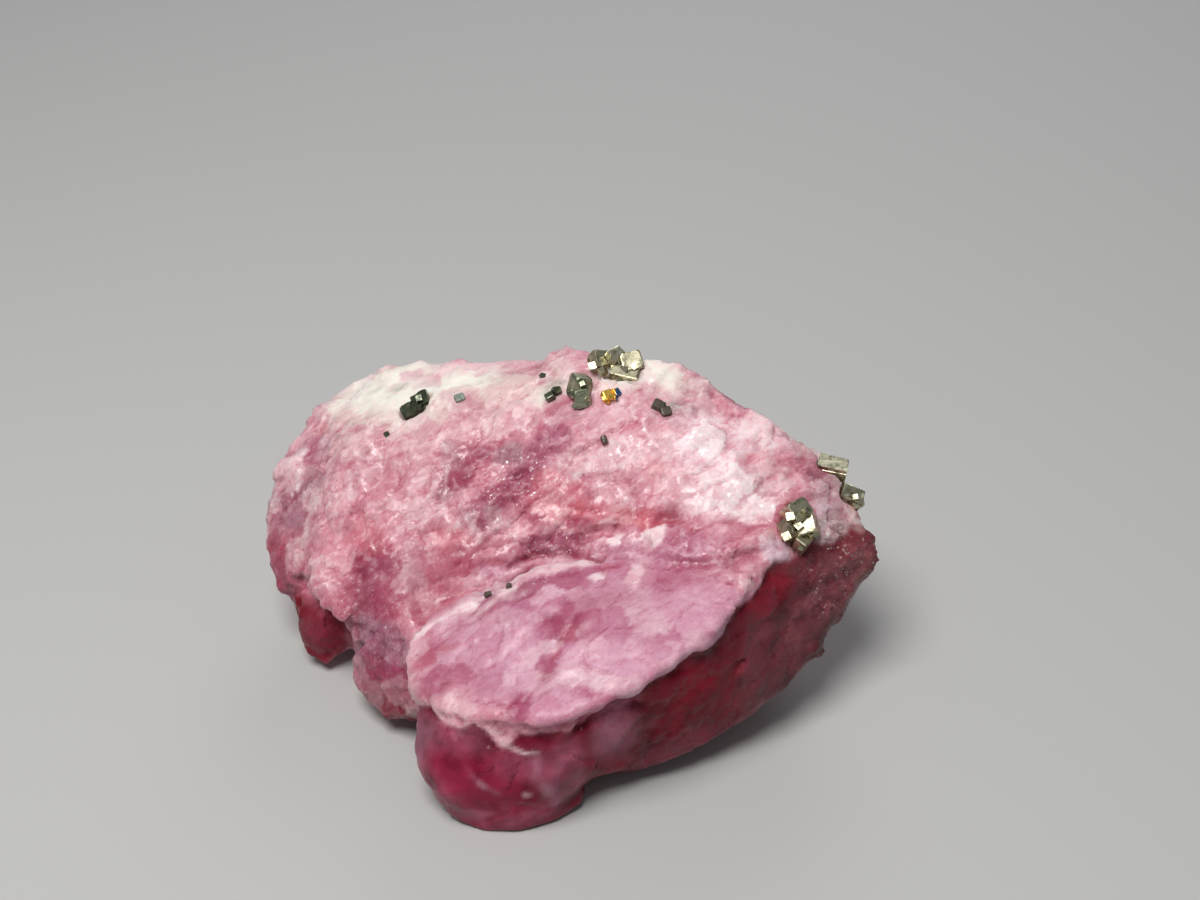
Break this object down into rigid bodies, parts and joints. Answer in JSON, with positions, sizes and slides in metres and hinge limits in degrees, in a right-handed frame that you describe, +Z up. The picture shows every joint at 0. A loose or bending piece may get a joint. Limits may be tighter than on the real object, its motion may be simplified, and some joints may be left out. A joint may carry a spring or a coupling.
{
  "type": "rhodochrosite mineral specimen",
  "caption": "Small broken piece of pink rhodochrosite with a jutting shelf, a glassy front lobe and grains of pyrite, resting on a flat cleavage face.",
  "frame": {"origin": "on the resting face, under the middle of the specimen's bounding box", "axes": "+X along the specimen's length towards its blunt right end, +Y from the glassy front lobe to the back ridge, +Z up"},
  "size_m": [0.0265, 0.0199, 0.0132],
  "materials": {
    "rhodochrosite": "translucent pink carbonate, broken along cleavage",
    "pyrite": "brassy metallic lustre",
    "olive_pyrite": "dull olive metallic lustre",
    "tarnished_pyrite": "gold metallic lustre with blue tarnish",
    "dark_sulphide": "black-green glassy lustre",
    "grey_sulphide": "grey-green, dull",
    "brown_oxide": "brown, dull"
  },
  "bodies": {
    "root": {"rhodochrosite_mass": "rhodochrosite", "pyrite_cluster_right": "pyrite", "pyrite_blade_right": "pyrite", "pyrite_cube_right": "pyrite", "pyrite_cluster_top": "pyrite", "pyrite_olive_grain": "olive_pyrite", "pyrite_gold_grain": "tarnished_pyrite", "dark_crystal_left": "dark_sulphide", "dark_speck_left": "dark_sulphide", "dark_speck_crest": "dark_sulphide", "dark_grain_middle": "dark_sulphide", "dark_speck_shelf_left": "dark_sulphide", "dark_speck_shelf_right": "dark_sulphide", "grey_grain_crust": "grey_sulphide", "brown_grain_right": "brown_oxide", "brown_speck_centre": "brown_oxide"}
  },
  "joints": []
}
